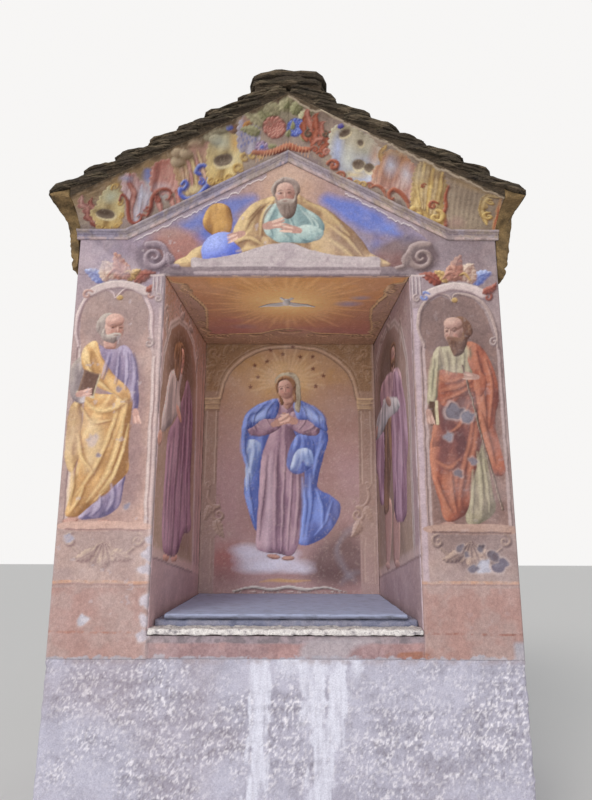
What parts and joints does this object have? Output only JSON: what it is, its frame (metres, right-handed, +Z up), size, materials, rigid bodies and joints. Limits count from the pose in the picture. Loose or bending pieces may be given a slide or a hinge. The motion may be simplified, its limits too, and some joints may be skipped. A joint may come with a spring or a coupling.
{
  "type": "wayside shrine",
  "caption": "Free-standing masonry wayside shrine with a deep painted niche, a coved pediment cornice and a gabled roof of overlapping stone slabs.",
  "frame": {"origin": "on the ground at the middle of the shrine's footprint", "axes": "+Z up, +X to the right of someone facing the niche, -Y out of the niche's open front"},
  "size_m": [2.586, 2.08, 4.034],
  "materials": {
    "roughcast": "matte",
    "plain_render": "matte",
    "painted_plaster": "matte",
    "painted_moulding": "matte",
    "bare_stone": "matte",
    "roof_stone": "matte",
    "lime_mortar": "matte",
    "altar_stone": "satin",
    "masonry": "matte"
  },
  "bodies": {
    "root": {"altar_bed": "lime_mortar", "altar_slab": "altar_stone", "back_wall": "masonry", "ceiling_stones": "masonry", "front_gable": "masonry", "front_plaster": "painted_plaster", "left_front_corner_stones": "bare_stone", "left_front_cove": "painted_plaster", "left_niche_plaster": "painted_plaster", "left_pediment_moulding": "painted_moulding", "left_plaster": "plain_render", "left_rear_corner_stones": "bare_stone", "left_rear_cove": "plain_render", "left_roof_bed": "lime_mortar", "left_side_cove": "plain_render", "left_slab_row_1": "roof_stone", "left_slab_row_2": "roof_stone", "left_slab_row_3": "roof_stone", "left_slab_row_4": "roof_stone", "left_slab_row_5": "roof_stone", "left_slab_row_6": "roof_stone", "left_slab_row_7": "roof_stone", "left_wall": "masonry", "niche_back_plaster": "painted_plaster", "niche_ceiling_plaster": "painted_plaster", "plinth": "roughcast", "rear_gable": "masonry", "rear_plaster": "plain_render", "ridge_bed": "lime_mortar", "ridge_slabs": "roof_stone", "right_front_corner_stones": "bare_stone", "right_front_cove": "painted_plaster", "right_niche_plaster": "painted_plaster", "right_pediment_moulding": "painted_moulding", "right_plaster": "plain_render", "right_rear_corner_stones": "bare_stone", "right_rear_cove": "plain_render", "right_roof_bed": "lime_mortar", "right_side_cove": "plain_render", "right_slab_row_1": "roof_stone", "right_slab_row_2": "roof_stone", "right_slab_row_3": "roof_stone", "right_slab_row_4": "roof_stone", "right_slab_row_5": "roof_stone", "right_slab_row_6": "roof_stone", "right_slab_row_7": "roof_stone", "right_wall": "masonry", "sill_course": "masonry", "sill_lip": "lime_mortar", "upper_fill": "masonry"}
  },
  "joints": []
}
